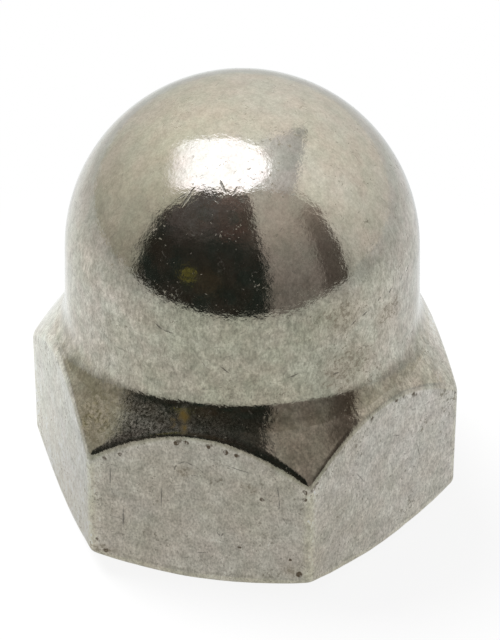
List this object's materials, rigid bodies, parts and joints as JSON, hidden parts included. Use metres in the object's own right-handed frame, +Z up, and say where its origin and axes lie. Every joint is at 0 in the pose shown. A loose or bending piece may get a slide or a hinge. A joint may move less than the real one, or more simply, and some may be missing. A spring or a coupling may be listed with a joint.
{
  "type": "cap nut",
  "caption": "Domed cap nut: hexagonal base with chamfered corners, round closed cap and a blind threaded hole from below.",
  "frame": {"origin": "centre of the bearing face, the flat ring that the nut rests on", "axes": "+Z up the nut's axis from the bearing face to the top of the dome, with two corners of the hexagon on the X axis and two flats square to the Y axis"},
  "size_m": [0.0214, 0.0188, 0.022],
  "materials": {
    "nut_metal": "bright nickel plate, finely scratched, duller and stained on the flats"
  },
  "bodies": {
    "root": {"cap_nut": "nut_metal"}
  },
  "joints": []
}
